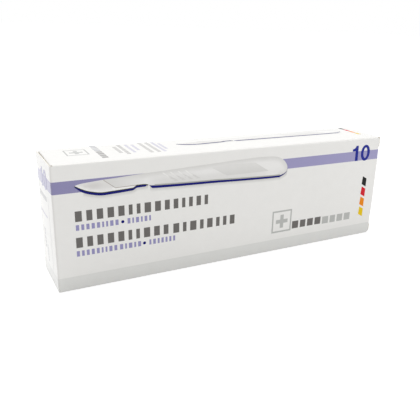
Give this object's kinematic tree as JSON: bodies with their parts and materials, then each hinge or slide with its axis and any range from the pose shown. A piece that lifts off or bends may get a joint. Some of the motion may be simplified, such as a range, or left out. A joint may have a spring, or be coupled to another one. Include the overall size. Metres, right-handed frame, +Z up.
{
  "type": "folding carton for disposable scalpels",
  "caption": "Long slim folding carton of white printed board. Both ends have a hinged tuck closure over dust flaps, and sealed scalpel pouches lie stacked inside.",
  "frame": {"origin": "centre of the base, on the surface that the carton stands on", "axes": "+X along the carton towards the end whose closure hinges at the back, -Y is the printed front, +Z up"},
  "size_m": [0.195, 0.032, 0.063],
  "materials": {
    "printed_board": "smooth coated white board with a soft sheen, printed in lilac, grey and dark blue",
    "pouch_film": "satin film and paper laminate"
  },
  "bodies": {
    "carton": {"carton_body": "printed_board", "scalpel_pouch_01": "pouch_film", "scalpel_pouch_02": "pouch_film", "scalpel_pouch_03": "pouch_film", "scalpel_pouch_04": "pouch_film", "scalpel_pouch_05": "pouch_film", "scalpel_pouch_06": "pouch_film", "scalpel_pouch_07": "pouch_film", "scalpel_pouch_08": "pouch_film", "scalpel_pouch_09": "pouch_film", "scalpel_pouch_10": "pouch_film"},
    "left_end": {"left_closure": "printed_board"},
    "right_end": {"right_closure": "printed_board"}
  },
  "joints": [
    {"name": "left_closure_hinge", "type": "hinge", "parent": "carton", "child": "left_end", "pos_m": [-0.09724, -0.01574, 0.0315], "axis": [0, 0, 1], "range_deg": [0, 180]},
    {"name": "right_closure_hinge", "type": "hinge", "parent": "carton", "child": "right_end", "pos_m": [0.09724, 0.01574, 0.0315], "axis": [0, 0, 1], "range_deg": [0, 180]}
  ]
}
